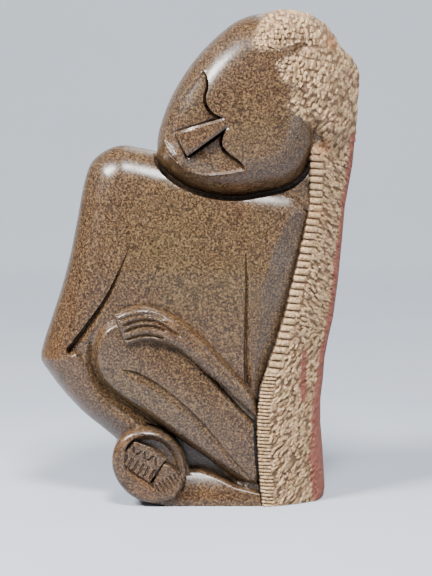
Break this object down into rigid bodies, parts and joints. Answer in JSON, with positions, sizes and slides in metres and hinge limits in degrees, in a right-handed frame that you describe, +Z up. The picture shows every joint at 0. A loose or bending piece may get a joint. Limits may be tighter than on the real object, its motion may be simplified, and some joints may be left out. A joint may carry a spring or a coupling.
{
  "type": "stone figure carving",
  "caption": "Slab-like stone carving of a seated woman, head on shoulder, hand on a raised knee, round bowl at her foot.",
  "frame": {"origin": "middle of the underside", "axes": "+Z up; the face, hand and bowl look along -Y; the hair and the red crust are on the +X side"},
  "size_m": [0.2612, 0.094, 0.4002],
  "materials": {
    "stone": "waxed and polished brown-grey serpentine, with rough pecked buff hair and a red-brown natural crust"
  },
  "bodies": {
    "root": {"female_figure": "stone"}
  },
  "joints": []
}
